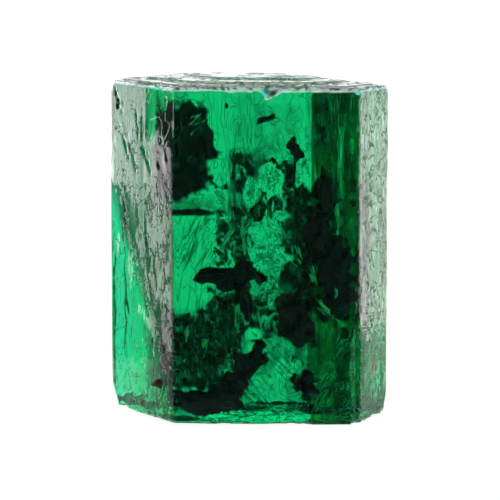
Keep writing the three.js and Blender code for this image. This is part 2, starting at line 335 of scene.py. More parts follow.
def clear_body(look):
    """The whole crystal as one fine skin over the solid, with its etched furrows."""
    mesh = frame["nodes"][NODE].data
    bare = np.array([vertex.co for vertex in mesh.vertices]) / MM
    made = bmesh.new()
    made.from_mesh(mesh)
    bmesh.ops.triangulate(made, faces=made.faces)
    triangles = np.array([[vertex.index for vertex in face.verts] for face in made.faces])
    made.free()
    points, normals, sides = fused(bare, triangles, BODY_VOXEL)
    depth, painted_recess_shade, side, level = etching(points, normals)
    soft = smoothed(points, sides, SMOOTHING_ROUNDS)
    surface = points + side[:, None] * (soft - points) - normals * depth[:, None]
    surface[:, 2] = np.maximum(surface[:, 2], 0.0)
    body = new_object("clear_body", surface, sides, look)
    for name, values in (
        ("painted_recess_shade", painted_recess_shade),
        ("side", side),
        ("level", level),
        ("crinkled", crinkling(points, normals)),
        ("rim", front_rim(points, normals)),
        ("painted_dimming", painted_face_shade(points, normals)),
        ("rust", rusted(points, normals)),
    ):
        store(body, name, values)
    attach(body, "root")
    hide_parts(NODE)


# The garden inside

# How far the line of sight shifts to the left and down for each millimetre behind the wide face
SIGHT_LEFT = 0.02
SIGHT_DOWN = 0.079


def seen(x, z, depth):
    """The place at a depth behind the wide face that is seen at x and z on it, after refraction."""
    front = corners()[0]
    face = front[1] + (x - front[0]) * math.tan(TURN)
    return np.array([x - SIGHT_LEFT * depth, face + depth, z - SIGHT_DOWN * depth])


def ball(level):
    """Vertices and faces of a finely divided ball."""
    made = bmesh.new()
    bmesh.ops.create_icosphere(made, subdivisions=level, radius=1)
    vertices = np.array([vertex.co for vertex in made.verts])
    faces = np.array([[vertex.index for vertex in face.verts] for face in made.faces])
    made.free()
    return vertices, faces


# Black masses as (x, z, depth, half width, half height, half depth), as they are seen through the wide face
MASSES = (
    (1.69, 10.18, 1.2, 0.29, 0.48, 0.3),
    (1.62, 9.3, 1.4, 0.1, 0.45, 0.15),
    (2.8, 8.5, 1.2, 0.32, 0.75, 0.4),
    (2.5, 7.6, 1.7, 0.45, 0.5, 0.4),
    (2.5, 6.9, 1.2, 0.52, 0.8, 0.5),
    (3.2, 5.9, 1.1, 0.68, 0.75, 0.5),
    (3.3, 5.0, 1.3, 0.55, 0.6, 0.45),
    (3.15, 4.2, 1.5, 0.5, 0.6, 0.4),
    (2.15, 5.8, 1.9, 0.42, 0.65, 0.4),
    (1.87, 5.2, 1.5, 0.32, 0.32, 0.3),
    (1.75, 4.2, 1.3, 0.68, 0.62, 0.5),
    (1.85, 3.5, 1.1, 0.65, 0.5, 0.4),
    (2.38, 3.2, 1.3, 0.12, 0.4, 0.12),
    (-1.6, 5.5, 1.8, 0.35, 0.28, 0.3),
    (-0.85, 5.4, 1.6, 0.8, 0.42, 0.45),
    (-0.1, 5.75, 1.5, 0.35, 0.4, 0.4),
    (-0.05, 4.8, 1.6, 0.28, 0.9, 0.35),
    (0.4, 5.42, 1.5, 0.24, 0.2, 0.25),
    (0.45, 2.95, 1.3, 0.25, 0.25, 0.3),
    (0.28, 2.45, 1.3, 0.32, 0.45, 0.35),
    (-0.1, 2.1, 1.1, 0.45, 0.6, 0.4),
    (-0.65, 1.35, 1.0, 0.65, 0.55, 0.45),
    (-1.5, 0.85, 0.9, 1.05, 0.5, 0.5),
    (-2.3, 1.0, 0.9, 0.35, 0.32, 0.3),
    (-1.0, 0.85, 1.2, 0.6, 0.42, 0.4),
    (2.05, 1.6, 1.2, 0.4, 0.38, 0.3),
    (2.3, 1.2, 1.3, 0.32, 0.36, 0.3),
    (-0.8, 11.72, 1.0, 0.11, 0.14, 0.1),
)
SURFACE_SPOT = (-3.27, -2.83, 1.45, 0.2)  # x, y, z and radius of the one that breaks out of the left face
SWOLLEN = 1.28  # their ragged outsides reach less far than their half sizes
MASS_VOXEL = 0.05
MASS_ROUGHNESS = 0.05

# The fragments that make up a mass, in shares of its half size
FRAGMENTS = 20
FRAGMENT_PLACE = (0.2, 0.8)
FRAGMENT_SIZE = (0.3, 0.55)
FRAGMENT_RAGGEDNESS = (0.65, 1.2)
FULL_TURN = 6.3


def black_masses(coal):
    """Ragged lumps, each fused from angular fragments."""
    vertices, faces = ball(1)
    random = np.random.default_rng(5)
    places = [(seen(x, z, depth), (wide, deep, high)) for x, z, depth, wide, high, deep in MASSES]
    places.append((np.array(SURFACE_SPOT[:3]), (SURFACE_SPOT[3],) * 3))
    points, sides = [], []
    for middle, half in places:
        for _ in range(FRAGMENTS):
            way = random.normal(0, 1, 3)
            place = way / np.linalg.norm(way) * random.uniform(*FRAGMENT_PLACE)
            ragged = random.uniform(*FRAGMENT_RAGGEDNESS, (len(vertices), 1))
            shape = vertices * ragged * random.uniform(*FRAGMENT_SIZE, 3)
            turn = Matrix.Rotation(random.uniform(0, FULL_TURN), 3, random.normal(0, 1, 3))
            points.append((shape @ np.array(turn) + place) * np.array(half) * SWOLLEN + middle)
            sides.append(faces + len(vertices) * len(sides))
    skin, normals, sides = fused(np.concatenate(points), np.concatenate(sides), MASS_VOXEL)
    rough = MASS_ROUGHNESS * fractal(skin * 4.3, seed=90) - 0.02
    masses = new_object("black_masses", skin + normals * rough[:, None], sides, coal)
    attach(masses, "root")


# Crack planes and clouds inside, by style. Each is (depth, turn, lean, grain, cover, outline):
# depth behind the wide face at the middle, degrees turned about the upright and leaned back,
# the grain's degrees from upright, how closed it is, and the outline's (x, z) points as they are seen
# through the wide face.
CLOUDS = (
    (3.0, 6, 3, 0, 0.24, ((2.3, 12.2), (4.0, 12.2), (4.0, 6.0), (3.3, 7.0), (2.9, 9.2), (2.5, 9.8))),
    (2.6, -8, 3, 0, 0.3, ((2.3, 12.1), (3.3, 12.0), (3.2, 10.5), (2.9, 9.8), (2.3, 10.0))),
    (3.2, 6, 3, 0, 0.5, ((-0.75, 10.0), (0.3, 10.1), (0.4, 7.5), (-0.7, 7.5))),
    (3.0, 6, -3, 0, 0.3, ((0.4, 11.7), (1.7, 11.6), (1.7, 9.9), (0.4, 9.9))),
    (3.4, -6, 3, 0, 0.2, ((-0.7, 12.2), (0.4, 12.2), (0.4, 10.1), (-0.6, 10.2))),
    (3.2, 8, -3, 0, 0.6, ((-2.8, 4.2), (-1.6, 4.6), (-0.3, 5.2), (-0.2, 1.0), (-2.8, 1.0))),
    (3.2, -8, 3, 0, 0.45, ((-0.6, 1.6), (1.2, 3.6), (3.9, 3.4), (3.9, 0.2), (-0.9, 0.2))),
    (2.8, 6, 3, 0, 0.15, ((1.6, 3.2), (4.0, 4.2), (4.0, 0.2), (1.7, 0.2))),
    (3.4, -6, 3, 0, 0.35, ((0.1, 7.7), (1.6, 7.7), (1.7, 4.3), (0.1, 4.3))),
    (3.0, 6, 3, 0, 0.6, ((0.0, 4.6), (1.2, 4.6), (1.2, 3.3), (0.0, 3.1))),
    (2.9, -10, -4, 0, 0.7, ((1.4, 9.5), (3.2, 8.9), (3.9, 6.6), (4.0, 3.9), (1.4, 4.2))),
    (2.8, 6, 3, 90, 0.5, ((-2.8, 8.4), (-0.8, 8.4), (-0.9, 7.9), (-2.8, 7.9))),
    (2.0, 6, 3, 0, 0.6, ((-2.85, 12.2), (-2.4, 12.2), (-2.4, 8.4), (-2.85, 8.4))),
)
SMOKE = (
    (1.6, 12, 3, 0, 0.84, ((-2.6, 11.9), (-1.7, 11.85), (-1.35, 11.15), (-1.05, 10.35), (-1.15, 9.95),
                           (-1.4, 9.7),
                           (-1.35, 9.4), (-1.1, 9.1), (-0.85, 8.9), (-1.5, 8.85), (-1.8, 8.55),
                           (-2.6, 8.4))),
    (2.3, -15, -5, 0, 0.76, ((-2.7, 11.7), (-1.7, 11.4), (-1.2, 10.6), (-1.2, 10.1), (-1.5, 9.7),
                             (-1.5, 8.7),
                             (-2.6, 8.4), (-2.8, 9.5))),
    (1.5, 5, 8, 0, 0.7, ((-1.4, 9.2), (-0.8, 9.0), (-0.7, 8.7), (-0.85, 8.4), (-1.3, 8.8))),
    (1.9, -8, 5, 90, 0.76, ((-2.7, 8.0), (-0.85, 8.0), (-0.85, 7.8), (-2.6, 7.75))),
    (2.4, -6, 6, 0, 0.62, ((-1.2, 7.7), (-0.1, 7.8), (0.0, 6.2), (-0.3, 5.9), (-1.3, 6.0))),
    (2.2, 10, -6, 0, 0.7, ((-2.75, 3.9), (-1.6, 4.2), (-1.2, 4.9), (-0.2, 5.0), (-0.1, 3.6),
                           (-1.0, 1.4), (-2.7, 1.2))),
    (2.8, -8, 6, 0, 0.66, ((-1.7, 5.0), (0.0, 4.9), (-0.2, 3.6), (-1.2, 1.6), (-2.3, 1.4), (-2.2, 3.2))),
    (2.2, 8, 4, 0, 0.54, ((-0.5, 10.2), (0.6, 10.0), (1.6, 10.2), (1.7, 8.6), (1.4, 7.6), (0.3, 7.7),
                          (-0.2, 7.6))),
    (2.4, -14, 4, 0, 0.68, ((1.5, 9.6), (2.5, 9.3), (2.9, 9.3), (3.3, 8.4), (3.3, 6.8), (3.8, 6.2),
                            (3.95, 3.9),
                            (3.0, 3.5), (1.2, 4.6), (1.3, 6.5), (1.4, 8.0))),
    (1.9, 10, -4, 0, 0.58, ((1.7, 8.9), (3.1, 8.6), (3.2, 6.8), (3.8, 6.0), (3.8, 4.0), (2.6, 3.6),
                            (1.3, 4.9))),
    (2.3, 10, -4, 0, 0.52, ((2.3, 12.0), (2.9, 11.9), (3.1, 10.9), (2.7, 9.9), (2.3, 10.0))),
    (2.0, 12, 4, 90, 0.62, ((1.4, 0.75), (3.1, 0.7), (3.2, 0.3), (1.5, 0.25))),
    (2.2, 8, 6, 30, 0.62, ((2.8, 3.7), (3.7, 3.6), (3.6, 3.1), (2.9, 3.2))),
    (1.8, 8, 6, 90, 0.66, ((0.2, 4.75), (1.2, 4.7), (1.2, 4.4), (0.2, 4.4))),
    (1.2, 8, 6, 0, 0.95, ((-0.95, 11.9), (-0.7, 11.9), (-0.65, 11.6), (-0.9, 11.55))),
    (1.2, 8, 6, -70, 0.9, ((0.35, 11.08), (0.9, 11.3), (0.9, 11.4), (0.4, 11.25))),
    (1.9, 8, 6, 0, 0.56, ((1.6, 10.0), (2.2, 9.8), (2.5, 9.2), (1.7, 8.6))),
)
MOSS = (
    (1.9, 10, 4, 5, 0.52, ((-0.7, 10.2), (0.2, 9.9), (1.6, 9.9), (1.9, 9.2), (1.7, 7.6), (0.5, 7.4),
                           (-0.6, 7.4))),
    (2.6, -12, -5, -5, 0.48, ((-0.6, 10.0), (1.5, 9.9), (1.8, 8.5), (1.5, 7.2), (-0.5, 7.3))),
    (1.8, 8, 6, 10, 0.52, ((-1.3, 7.9), (0.2, 7.7), (0.2, 5.8), (-1.3, 5.9))),
    (1.7, -8, 5, 8, 0.52, ((-2.75, 4.1), (-0.2, 4.9), (-0.1, 3.4), (-0.5, 1.2), (-2.7, 1.1))),
    (2.0, 14, -6, 15, 0.5, ((-2.0, 5.2), (0.5, 5.0), (0.6, 3.6), (-0.2, 2.4), (-2.4, 1.6))),
    (1.7, -10, 4, 0, 0.5, ((1.2, 8.6), (2.5, 9.0), (2.4, 6.0), (1.2, 5.0), (1.0, 6.6))),
    (1.6, 10, 3, -10, 0.48, ((2.3, 12.1), (3.2, 12.0), (3.2, 10.6), (2.4, 9.8))),
    (1.8, -6, 5, 12, 0.46, ((3.0, 9.2), (4.0, 9.2), (4.0, 6.2), (3.3, 6.9))),
    (1.6, 10, -4, -20, 0.44, ((0.2, 7.6), (1.8, 7.6), (1.9, 5.0), (1.0, 4.6), (0.3, 4.2), (0.0, 5.2))),
    (1.6, 10, -4, 10, 0.5, ((0.0, 4.4), (1.2, 4.4), (1.2, 3.3), (0.1, 3.2))),
    (1.9, -10, 4, 40, 0.42, ((-0.6, 1.4), (1.2, 3.5), (1.7, 0.3), (-1.0, 0.3))),
    (1.5, 10, 4, -35, 0.39, ((1.3, 3.2), (3.9, 3.4), (3.9, 0.2), (1.2, 0.2))),
    (2.3, -10, 4, 40, 0.35, ((2.2, 3.3), (3.9, 3.6), (3.9, 0.2), (1.8, 0.2))),
    (1.5, 10, 4, 20, 0.5, ((-2.7, 4.5), (-1.4, 4.5), (-1.4, 3.7), (-2.7, 3.7))),
    (1.5, 10, 4, 0, 0.5, ((1.6, 10.0), (2.2, 9.8), (2.6, 9.0), (2.2, 8.6), (1.6, 8.6))),
)
NETS = (
    (1.2, 8, 4, 0, 0.8, ((0.3, 9.6), (1.2, 9.6), (1.2, 8.6), (0.3, 8.6))),
    (1.2, -8, 4, 10, 0.9, ((0.0, 7.7), (1.3, 7.7), (1.7, 5.9), (1.9, 4.9), (0.2, 4.6), (0.1, 5.8))),
    (1.9, 8, 4, 80, 0.8, ((0.1, 6.6), (1.8, 6.6), (1.8, 4.7), (0.3, 4.7))),
    (1.3, 8, -4, 40, 0.75, ((-0.4, 1.6), (1.2, 3.5), (1.9, 3.0), (1.7, 0.2), (-0.9, 0.2))),
    (1.2, -8, 4, 0, 0.85, ((-2.7, 4.4), (-1.4, 4.4), (-1.4, 3.6), (-2.7, 3.6))),
    (1.2, 8, 4, -35, 0.65, ((1.3, 3.3), (3.9, 3.3), (3.9, 0.2), (1.6, 0.2))),
    (1.3, -8, 4, 10, 0.55, ((2.4, 12.1), (3.95, 12.0), (3.95, 7.4), (3.2, 9.0))),
    (1.3, 8, 4, 30, 0.5, ((0.4, 11.6), (1.8, 11.6), (1.8, 9.9), (0.4, 9.9))),
    (1.2, 8, 4, 90, 0.8, ((-2.7, 8.4), (-1.0, 8.4), (-1.0, 7.95), (-2.6, 7.95))),
    (1.2, -8, 4, 0, 0.8, ((-0.2, 9.3), (0.3, 9.3), (0.3, 8.1), (-0.2, 8.1))),
    (1.2, 8, 4, -20, 0.75, ((-1.5, 7.9), (-0.2, 7.9), (-0.2, 6.0), (-1.3, 6.0))),
)
STRIAE = (
    (2.6, 4, 2, 1, 0.5, ((-0.65, 12.2), (0.4, 12.2), (0.35, 9.9), (-0.6, 9.9))),
    (2.4, 6, 4, -28, 0.65, ((-2.75, 7.9), (-1.4, 7.8), (-1.2, 6.0), (-2.0, 5.6), (-2.75, 5.6))),
    (1.8, -6, 2, -18, 0.5, ((-2.75, 7.9), (-1.9, 7.9), (-1.4, 5.6), (-2.75, 5.0))),
    (2.2, 4, 4, -10, 0.5, ((-2.75, 5.9), (-1.6, 5.6), (-1.6, 4.2), (-2.75, 4.2))),
    (2.0, 6, 4, 0, 0.4, ((1.9, 12.1), (2.22, 12.1), (2.25, 9.6), (1.9, 9.6))),
    (2.0, 6, 4, 3, 0.3, ((-1.45, 12.1), (-0.65, 12.1), (-0.65, 8.2), (-1.0, 8.4))),
    (1.7, 6, 4, 2, 0.8, ((-0.65, 10.0), (0.0, 10.0), (0.0, 7.6), (-0.7, 7.6))),
    (2.0, 6, 4, 45, 0.6, ((-0.4, 1.4), (1.2, 3.5), (1.8, 2.4), (1.7, 0.2), (-1.0, 0.2))),
    (2.4, -8, 4, -40, 0.6, ((1.6, 3.2), (3.9, 3.6), (3.9, 0.3), (2.0, 0.3))),
    (2.2, -8, 4, -5, 0.5, ((3.0, 10.7), (3.95, 10.9), (3.95, 6.2), (3.3, 7.0))),
    (2.0, 8, 4, 50, 0.45, ((0.4, 11.6), (1.2, 11.6), (1.6, 10.6), (1.0, 10.0))),
)
THREADS = (
    (1.3, 8, 4, 6, 0.5, ((-2.6, 4.3), (-0.2, 4.6), (-0.3, 2.0), (-1.2, 1.4), (-2.6, 1.4))),
    (1.7, -8, -4, 12, 0.4, ((-2.6, 4.3), (-0.2, 4.6), (-0.3, 2.0), (-1.2, 1.4), (-2.6, 1.4))),
    (1.2, 8, 4, 5, 0.2, ((-2.6, 11.9), (-1.3, 11.3), (-1.2, 9.9), (-2.6, 8.5))),
    (1.4, -8, 4, 0, 0.5, ((-0.2, 9.9), (2.2, 9.9), (2.0, 7.6), (-0.2, 7.6))),
    (1.3, 8, 4, -30, 0.4, ((-1.2, 7.7), (0.0, 7.8), (0.0, 6.0), (-1.2, 6.0))),
    (1.1, 8, 4, 0, 0.25, ((1.4, 8.6), (2.4, 8.6), (2.3, 5.2), (1.4, 5.2))),
    (1.0, -8, 4, 20, 0.6, ((0.1, 7.6), (1.7, 7.6), (1.8, 4.6), (0.2, 4.6))),
    (1.1, 8, 4, -40, 0.5, ((1.2, 3.4), (3.9, 3.4), (3.8, 0.3), (1.2, 0.3))),
    (1.1, -8, 4, 50, 0.5, ((-0.5, 1.4), (1.2, 3.5), (1.7, 0.3), (-0.9, 0.3))),
    (1.3, 8, 4, 5, 0.35, ((2.3, 12.1), (3.95, 12.1), (3.95, 6.5), (3.2, 7.0))),
    (1.2, -8, 4, 0, 0.5, ((1.4, 12.2), (2.3, 12.2), (2.3, 9.0), (1.6, 9.8))),
)
WISPS = (
    (1.0, 10, 6, -50, 0.44, ((-2.15, 11.3), (-1.5, 11.5), (-1.4, 11.25), (-1.8, 10.95), (-2.1, 10.55))),
    (1.2, -10, 6, -75, 0.58, ((-2.5, 8.1), (-1.9, 8.35), (-1.0, 8.25), (-1.1, 8.05), (-2.5, 8.0))),
    (1.2, 8, 4, 35, 0.62, ((-1.4, 8.95), (-0.9, 8.4), (-0.75, 8.0), (-0.95, 7.9), (-1.1, 8.2))),
    (1.2, -6, 2, 4, 0.75, ((-0.27, 7.7), (-0.18, 7.7), (-0.08, 6.3), (-0.17, 6.3))),
    (1.2, 10, 2, -45, 0.66, ((-1.05, 6.5), (-0.95, 6.5), (-0.4, 7.3), (-0.35, 7.4), (-0.8, 7.1))),
    (1.1, -8, 4, 12, 0.6, ((3.15, 8.15), (3.3, 8.15), (3.35, 7.0), (3.2, 7.0))),
    (1.0, 8, 4, 5, 0.6, ((3.12, 5.2), (3.3, 5.2), (3.28, 4.5), (3.15, 4.5))),
    (1.0, -8, 4, -8, 0.6, ((3.4, 4.85), (3.56, 4.85), (3.5, 4.2), (3.42, 4.2))),
    (1.1, 8, 4, -20, 0.6, ((-2.3, 3.7), (-2.15, 3.75), (-2.2, 3.1), (-2.35, 2.9))),
    (1.1, 8, 4, -15, 0.55, ((-1.7, 3.2), (-1.5, 3.2), (-1.6, 2.5), (-1.7, 2.5))),
    (1.3, 8, 4, -10, 0.55, ((-0.6, 4.5), (-0.3, 4.5), (-0.3, 3.3), (-0.45, 3.3))),
    (1.1, -8, 4, 85, 0.62, ((0.55, 4.97), (1.3, 5.0), (1.3, 4.9), (0.55, 4.85))),
    (1.0, -8, 4, 50, 0.56, ((2.5, 4.7), (2.65, 4.6), (3.5, 3.7), (3.45, 3.65), (2.6, 4.3))),
    (1.2, -8, 4, 15, 0.6, ((2.25, 5.9), (2.45, 5.9), (2.6, 4.7), (2.45, 4.7))),
    (1.2, -8, 4, 15, 0.6, ((1.65, 6.6), (1.9, 6.6), (2.05, 5.8), (1.8, 5.7))),
)
# Pale crack planes: real feathers, coloured pale as a painted glint for the light their cracks reflect
FROST_AND_PAINTED_GLINTS = (
    (1.6, 8, 4, 0, 0.48, ((0.4, 9.5), (1.0, 9.5), (1.15, 9.0), (0.9, 8.6), (0.4, 8.8))),
    (1.6, -8, 4, 5, 0.48, ((-0.1, 9.3), (0.25, 9.2), (0.25, 8.1), (-0.1, 8.2))),
    (1.5, 8, 4, 0, 0.42, ((0.2, 7.5), (1.1, 7.2), (1.3, 6.6), (1.1, 6.2), (0.3, 6.2))),
    (1.4, -8, 4, 80, 0.5, ((0.2, 6.35), (1.5, 6.3), (1.3, 5.85), (0.3, 5.9))),
    (1.5, 8, 4, 0, 0.48, ((1.0, 7.95), (1.45, 7.9), (1.4, 7.6), (1.0, 7.6))),
    (1.5, 8, 4, 0, 0.46, ((1.7, 9.6), (1.9, 9.6), (1.9, 8.8), (1.7, 8.8))),
    (1.5, 6, 4, 0, 0.46, ((2.0, 9.8), (2.3, 9.6), (2.55, 8.9), (2.35, 8.8), (2.0, 9.3))),
    (1.5, 6, 4, 0, 0.53, ((0.75, 4.85), (0.93, 4.85), (0.93, 4.4), (0.75, 4.4))),
    (1.5, 6, 4, 0, 0.48, ((0.0, 3.5), (0.45, 3.5), (0.4, 3.2), (0.05, 3.2))),
    (1.6, 6, 4, 40, 0.45, ((1.1, 2.3), (1.65, 2.3), (1.6, 1.8), (1.1, 1.7))),
    (1.2, 6, 4, 90, 0.5, ((-0.8, 1.85), (-0.5, 1.85), (-0.5, 1.7), (-0.8, 1.7))),
    (1.5, 6, 4, -60, 0.4, ((0.85, 8.3), (1.5, 8.7), (1.55, 8.3), (1.0, 8.0))),
)
# Clear windows in the clouds, smoke and moss, as (x, z, half width, half height, how clear)
WINDOWS = (
    (0.75, 9.1, 0.42, 0.45, 1.0),
    (0.08, 8.7, 0.26, 0.6, 1.0),
    (0.85, 6.2, 0.65, 0.32, 1.0),
    (0.65, 7.1, 0.5, 0.5, 0.7),
    (1.2, 7.75, 0.25, 0.16, 1.0),
    (1.8, 9.2, 0.16, 0.42, 1.0),
    (2.25, 9.3, 0.28, 0.45, 1.0),
    (-1.0, 9.35, 0.32, 0.45, 1.0),
    (-1.05, 8.35, 0.3, 0.35, 0.9),
    (0.25, 3.35, 0.26, 0.16, 1.0),
    (1.4, 2.0, 0.38, 0.38, 1.0),
    (0.9, 1.2, 0.6, 0.5, 0.7),
    (-2.2, 4.95, 0.65, 0.7, 1.0),
    (0.83, 4.6, 0.12, 0.26, 1.0),
    (-2.4, 0.45, 0.5, 0.25, 1.0),
    (-0.9, 10.9, 0.4, 1.0, 0.8),
)

MESH_STEP = 0.07
SHEET_MARGIN = 0.2  # how far a sheet's mesh reaches past its outline
SKIN_MARGIN = 0.15  # how near to the crystal's outside the sheets may come
NEAREST, DEEPEST = 0.2, 6.5  # behind the wide face
FOLDS, FOLD_SCALE = 0.14, 0.8
CREASES, CREASE_SCALE = 0.03, 3.5
LEVEL = 1e-9  # edges lower than this count as level


def edge_distance(points, outline):
    """How far each point lies inside a closed outline, negative outside it."""
    ends = np.array(outline)
    enclosed = np.zeros(len(points), bool)
    nearest = np.full(len(points), np.inf)
    for a, b in zip(ends, np.roll(ends, -1, axis=0)):
        way = b - a
        share = np.clip(((points - a) @ way) / (way @ way), 0, 1)
        nearest = np.minimum(nearest, np.linalg.norm(points - a - share[:, None] * way, axis=1))
        spans = (a[1] > points[:, 1]) != (b[1] > points[:, 1])
        height = np.where(abs(b[1] - a[1]) < LEVEL, LEVEL, b[1] - a[1])
        cross = a[0] + (points[:, 1] - a[1]) * way[0] / height
        enclosed ^= spans & (points[:, 0] < cross)
    return np.where(enclosed, nearest, -nearest)


def windowed(flat):
    """How much each place on the wide face lies in a window, from 0 to 1."""
    probe = np.column_stack([flat, np.zeros(len(flat))])
    ragged = 0.35 * fractal(probe * 2.6, seed=77, octaves=3)
    clear = np.zeros(len(flat))
    for x, z, wide, high, strength in WINDOWS:
        reach = np.linalg.norm((flat - (x, z)) / (wide, high), axis=1) + ragged
        clear = np.maximum(clear, strength * rising(1.25 - reach, 0, 0.5))
    return clear


def kept_inside(points):
    """The same points, drawn in where they would reach through a face of the prism."""
    for name in FACES:
        start, _, out = face_frame(name)
        beyond = np.maximum((points[:, :2] - start) @ out + SKIN_MARGIN, 0)
        points[:, :2] -= beyond[:, None] * out
    points[:, 2] = np.clip(points[:, 2], SKIN_MARGIN, HEIGHT - SKIN_MARGIN)
    return points


def sheet_grid(outline):
    """Even (x, z) places over an outline's box, with how many columns and rows they have."""
    ends = np.array(outline)
    low, high = ends.min(axis=0) - SHEET_MARGIN, ends.max(axis=0) + SHEET_MARGIN
    columns, rows = np.maximum(((high - low) / MESH_STEP).astype(int), 3)
    x, z = np.meshgrid(np.linspace(low[0], high[0], columns), np.linspace(low[1], high[1], rows))
    size = min(high - low - 2 * SHEET_MARGIN)
    return np.column_stack([x.ravel(), z.ravel()]), columns, rows, size


def veil(depth, turn, lean, grain, cover, outline, seed, has_windows):
    """Points, faces, closedness and grain places of one crumpled sheet that fades out at a ragged edge."""
    flat, columns, rows, size = sheet_grid(outline)
    middle = np.array(outline).mean(axis=0)
    feather = min(0.12 + 0.1 * size, 0.35 * size)
    probe = np.column_stack([flat, np.full(len(flat), 3.7 * seed)])
    ragged = edge_distance(flat, outline) + 0.5 * feather * fractal(probe * 2.2, seed)
    fade = np.clip(0.75 + 0.5 * ragged / feather, 0, 1)
    if has_windows:
        fade *= 1 - windowed(flat)
    away = depth + (flat[:, 0] - middle[0]) * math.tan(math.radians(turn))
    away += (flat[:, 1] - middle[1]) * math.tan(math.radians(lean))
    folds = FOLDS * fractal(probe * FOLD_SCALE, seed + 9, octaves=3)
    away += folds + CREASES * fractal(probe * CREASE_SCALE, seed + 19, octaves=2)
    away = np.clip(away, NEAREST, DEEPEST)
    points = kept_inside(np.array([seen(*place, deep) for place, deep in zip(flat, away)]))
    angle = math.radians(grain)
    turned = np.array([[math.cos(angle), -math.sin(angle)], [math.sin(angle), math.cos(angle)]])
    places = np.column_stack([(flat - middle) @ turned, np.full(len(flat), 5.3 * seed)])
    corner = np.arange(columns * rows).reshape(rows, columns)
    around = (corner[:-1, :-1], corner[:-1, 1:], corner[1:, 1:], corner[1:, :-1])
    faces = np.stack(around, axis=-1).reshape(-1, 4)
    faces = faces[fade[faces].max(axis=1) > 0]
    return points, faces, fade * cover, places


def veils(name, sheets, seed, look, has_windows=False):
    """One piece from all the sheets of a style."""
    points, faces, closed, places = [], [], [], []
    start = 0
    for i, sheet in enumerate(sheets):
        made = veil(*sheet, seed + i, has_windows)
        points.append(made[0])
        faces.append(made[1] + start)
        closed.append(made[2])
        places.append(made[3])
        start += len(made[0])
    thing = new_object(name, np.concatenate(points), np.concatenate(faces), look)
    store(thing, "closed", np.concatenate(closed))
    layer = thing.data.attributes.new("grain", "FLOAT_VECTOR", "POINT")
    layer.data.foreach_set("vector", np.concatenate(places).astype(np.float32).ravel())
    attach(thing, "root")


# Material nodes


def material(name):
    """A new material with its node tree and its surface shader."""
    made = bpy.data.materials.new(name)
    made.use_nodes = True
    return made, made.node_tree, made.node_tree.nodes["Principled BSDF"]


def grey(level):
    return (level, level, level)


def attribute(tree, name):
    """A number that was stored for each vertex."""
    node = tree.nodes.new("ShaderNodeAttribute")
    node.attribute_name = name
    return node.outputs["Fac"]


def feed(tree, source, socket):
    """Links an output to a socket, or sets the socket to a number."""
    if isinstance(source, (int, float)):
        socket.default_value = source
    else:
        tree.links.new(source, socket)


def ramp(tree, value, stops):
    """A value turned into a colour, through (position, colour) stops."""
    node = tree.nodes.new("ShaderNodeValToRGB")
    elements = node.color_ramp.elements
    while len(elements) < len(stops):
        elements.new(0.5)
    for element, (position, colour) in zip(elements, stops):
        element.position = position
        element.color = (*colour, 1)
    tree.links.new(value, node.inputs[0])
    return node.outputs[0]


def combined(tree, operation, first, second):
    """Two numbers joined by a math node."""
    node = tree.nodes.new("ShaderNodeMath")
    node.operation = operation
    for socket, value in zip(node.inputs, (first, second)):
        feed(tree, value, socket)
    return node.outputs[0]


def times(tree, first, second):
    return combined(tree, "MULTIPLY", first, second)


def larger(tree, first, second):
    return combined(tree, "MAXIMUM", first, second)


def stepped(tree, value, low, high, start=0.0, end=1.0):
    """Goes smoothly from start to end while the value goes from low to high."""
    node = tree.nodes.new("ShaderNodeMapRange")
    node.interpolation_type = "SMOOTHSTEP"
    node.inputs["To Min"].default_value = start
    node.inputs["To Max"].default_value = end
    for socket, source in (("Value", value), ("From Min", low), ("From Max", high)):
        feed(tree, source, node.inputs[socket])
    return node.outputs[0]


def strands(tree, grain, width):
    """Fine wandering lines at 1 on a ground of 0, where a noise is near its middle."""
    gap = combined(tree, "SUBTRACT", grain, 0.5)
    return stepped(tree, combined(tree, "ABSOLUTE", gap, 0.0), 0.0, width, 1.0, 0.0)


def tinted(tree, first, second, factor=None):
    """The first colour times the second, or part of the way to the second where a factor is given."""
    node = tree.nodes.new("ShaderNodeMix")
    node.data_type = "RGBA"
    node.blend_type = "MULTIPLY" if factor is None else "MIX"
    node.inputs["Factor"].default_value = 1
    if factor is not None:
        tree.links.new(factor, node.inputs["Factor"])
    for socket, value in zip((node.inputs[6], node.inputs[7]), (first, second)):
        if isinstance(value, tuple):
            socket.default_value = (*value, 1)
        else:
            tree.links.new(value, socket)
    return node.outputs[2]


def stretched(tree, place, scales):
    """Texture places scaled along each axis."""
    node = tree.nodes.new("ShaderNodeMapping")
    node.inputs["Scale"].default_value = scales
    tree.links.new(place, node.inputs["Vector"])
    return node.outputs["Vector"]


def grained(tree, place, scale, detail, distortion):
    """Noise at texture places."""
    node = tree.nodes.new("ShaderNodeTexNoise")
    for name, value in (("Scale", scale), ("Detail", detail), ("Distortion", distortion)):
        node.inputs[name].default_value = value
    tree.links.new(place, node.inputs["Vector"])
    return node.outputs["Fac"]


def texture(tree, scale, detail, stretch=(1, 1, 1), distortion=0.0):
    """Noise in the crystal's own millimetres, stretched along its axes."""
    place = tree.nodes.new("ShaderNodeTexCoord").outputs["Object"]
    scaled = stretched(tree, place, [part * scale / MM for part in stretch])
    return grained(tree, scaled, 1, detail, distortion)


def bumped(tree, shader, height, distance, strength=1.0, inward=False):
    """Lets a height raise the shader's surface, or sink it."""
    node = tree.nodes.new("ShaderNodeBump")
    node.invert = inward
    node.inputs["Strength"].default_value = strength
    node.inputs["Distance"].default_value = distance * MM
    tree.links.new(height, node.inputs["Height"])
    tree.links.new(node.outputs[0], shader.inputs["Normal"])


# Materials

